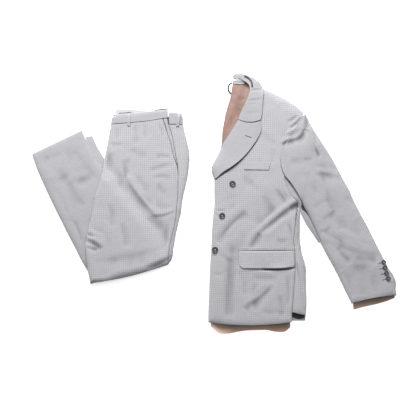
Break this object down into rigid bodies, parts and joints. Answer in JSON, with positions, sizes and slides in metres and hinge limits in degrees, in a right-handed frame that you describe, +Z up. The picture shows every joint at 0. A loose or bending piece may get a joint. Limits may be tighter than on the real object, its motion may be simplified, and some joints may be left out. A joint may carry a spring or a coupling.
{
  "type": "suit",
  "caption": "Cloth suit laid flat: jacket folded lengthwise with its sleeve spread to the side, beside trousers folded at the knee.",
  "frame": {"origin": "centre of the bounding box of both garments, on the surface they lie on", "axes": "+X across the garments from the trousers to the sleeve cuff, +Y towards the collar and the waistband, +Z up from the surface"},
  "size_m": [1.178, 0.8556, 0.0336],
  "materials": {
    "suit_cloth": "matte woven wool, light grey micro-check",
    "body_lining": "satin lining, rust brown",
    "hem_lining": "satin lining in shadow, brown",
    "white_cotton": "matte cotton, white",
    "button": "satin horn-like, dark grey",
    "loop_tape": "woven tape, black"
  },
  "bodies": {
    "root": {"right_leg_lower": "suit_cloth", "lower_leg_layers": "suit_cloth", "left_leg_hem": "suit_cloth", "left_leg_front": "suit_cloth", "pocket_facing": "suit_cloth", "left_leg_back": "suit_cloth", "waistband_front": "suit_cloth", "waistband_back": "suit_cloth", "thigh_layers": "suit_cloth", "waistband_lining": "white_cotton", "belt_loop_front": "suit_cloth", "belt_loop_back": "suit_cloth", "front_left": "suit_cloth", "back_left": "suit_cloth", "back_right": "suit_cloth", "back_lining": "body_lining", "jacket_layers": "suit_cloth", "hem_lining": "hem_lining", "sleeve_top": "suit_cloth", "sleeve_under": "suit_cloth", "sleeve_layers": "suit_cloth", "cuff_lining": "hem_lining", "lapel_left": "suit_cloth", "collar_left": "suit_cloth", "collar_stand": "suit_cloth", "neck_label": "white_cotton", "hanger_loop_right": "loop_tape", "hanger_loop_left": "loop_tape", "breast_pocket_welt": "suit_cloth", "hip_pocket_jetting": "suit_cloth", "hip_pocket_flap": "suit_cloth", "front_button_1": "button", "front_button_2": "button", "front_button_3": "button", "sleeve_button_1": "button", "sleeve_button_2": "button", "sleeve_button_3": "button", "sleeve_button_4": "button"}
  },
  "joints": []
}
